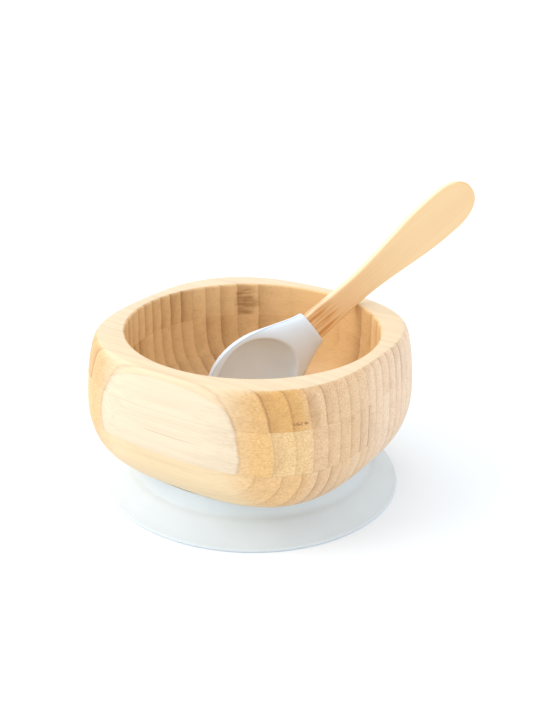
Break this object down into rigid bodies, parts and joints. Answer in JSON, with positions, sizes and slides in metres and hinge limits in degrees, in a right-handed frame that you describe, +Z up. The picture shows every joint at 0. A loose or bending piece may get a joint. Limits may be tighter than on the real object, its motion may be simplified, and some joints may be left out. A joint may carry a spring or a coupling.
{
  "type": "suction bowl",
  "caption": "Rounded-square bamboo bowl with a round cavity, on a silicone suction cup with a pull tab, with a bamboo spoon that has a silicone head.",
  "frame": {"origin": "middle of the bounding box's bottom, on the table; the bowl's own axis stands at x = 0, y = -0.016 m", "axes": "+Z up out of the bowl; X along the grain of the bowl's boards; +Y towards the side over which the spoon's handle leans and where the release tab is"},
  "size_m": [0.1226, 0.1546, 0.1153],
  "materials": {
    "bowl_bamboo": "oiled laminated bamboo, satin",
    "cup_silicone": "matte pale grey silicone",
    "handle_bamboo": "oiled bamboo, satin",
    "spoon_silicone": "matte pale grey silicone"
  },
  "bodies": {
    "suction_base": {"suction_cup": "cup_silicone"},
    "bowl": {"bowl_board_rim": "bowl_bamboo", "bowl_board_wall": "bowl_bamboo", "bowl_board_floor": "bowl_bamboo", "bowl_board_foot": "bowl_bamboo"},
    "tab": {"release_tab": "cup_silicone"},
    "spoon": {"spoon_handle": "handle_bamboo", "spoon_head": "spoon_silicone"}
  },
  "joints": [
    {"name": "bowl_lift_off", "type": "slide", "parent": "suction_base", "child": "bowl", "axis": [0, 0, 1], "range_m": [0, 0.04], "deforming": ["suction_cup"]},
    {"name": "tab_bend", "type": "hinge", "parent": "suction_base", "child": "tab", "pos_m": [0, 0.0456, 0.0013], "axis": [1, 0, 0], "range_deg": [0, 60], "stiffness_Nm_per_rad": 0.004},
    {"name": "spoon_lift_out", "type": "slide", "parent": "bowl", "child": "spoon", "axis": [0, 0, 1], "range_m": [0, 0.06]}
  ]
}
